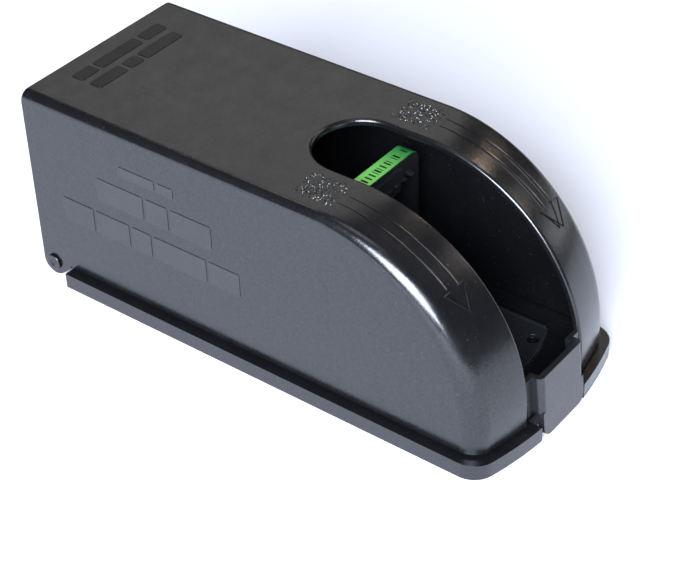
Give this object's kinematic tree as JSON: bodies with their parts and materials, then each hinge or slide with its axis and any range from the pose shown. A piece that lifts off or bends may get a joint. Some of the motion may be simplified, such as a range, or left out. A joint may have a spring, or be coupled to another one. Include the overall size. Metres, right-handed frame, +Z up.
{
  "type": "bait station",
  "caption": "Covered mouse trap station: base tray, rear-hinged arched cover with an open front slot, and a pivoting-jaw trap with a bait pedal inside.",
  "frame": {"origin": "centre of the footprint, at the ground under the base", "axes": "+X across the width, +Y towards the hinged back wall with the entrance nose at -Y, +Z up"},
  "size_m": [0.0762, 0.1778, 0.0693],
  "materials": {
    "black_shell": "fine moulded satin black with soft reflections",
    "black_base": "fine grained black",
    "black_texture": "coarse sparkle texture",
    "black_marks": "plain raised satin tiles",
    "trap_black": "semi-gloss black",
    "grey_cup": "dark grey moulded",
    "steel": "drawn wire and plated steel",
    "green_label": "satin printed film with plain dark strokes",
    "bait": "waxy tan paste"
  },
  "bodies": {
    "base": {"base_tray": "black_base", "floor_plate": "black_base", "hinge_pins": "black_shell", "trap_base": "trap_black", "trap_screws": "steel", "jaw_axle": "steel", "axle_caps": "steel", "pedal_pin": "steel", "jaw_spring_left": "steel", "jaw_spring_right": "steel"},
    "cover": {"cover_shell": "black_shell", "front_bridge": "black_shell", "grip_patches": "black_texture", "arrow_marks": "black_marks", "side_marks": "black_marks", "top_marks": "black_marks"},
    "jaw": {"upper_jaw": "trap_black", "jaw_label": "green_label"},
    "pedal": {"trigger_pedal": "trap_black"},
    "cup": {"bait_cup": "grey_cup", "bait_paste": "bait"}
  },
  "joints": [
    {"name": "cover_hinge", "type": "hinge", "parent": "base", "child": "cover", "pos_m": [0, 0.0843, 0.0054], "axis": [-1, 0, 0], "range_deg": [0, 90]},
    {"name": "jaw_pivot", "type": "hinge", "parent": "base", "child": "jaw", "pos_m": [0, -0.013, 0.012], "axis": [1, 0, 0], "range_deg": [0, 82], "deforming": ["jaw_spring_left", "jaw_spring_right"]},
    {"name": "pedal_pivot", "type": "hinge", "parent": "base", "child": "pedal", "pos_m": [0, -0.0234, 0.0084], "axis": [1, 0, 0], "range_deg": [0, 4.5]},
    {"name": "cup_lift", "type": "slide", "parent": "pedal", "child": "cup", "axis": [0, 0, 1], "range_m": [0, 0.012]}
  ]
}
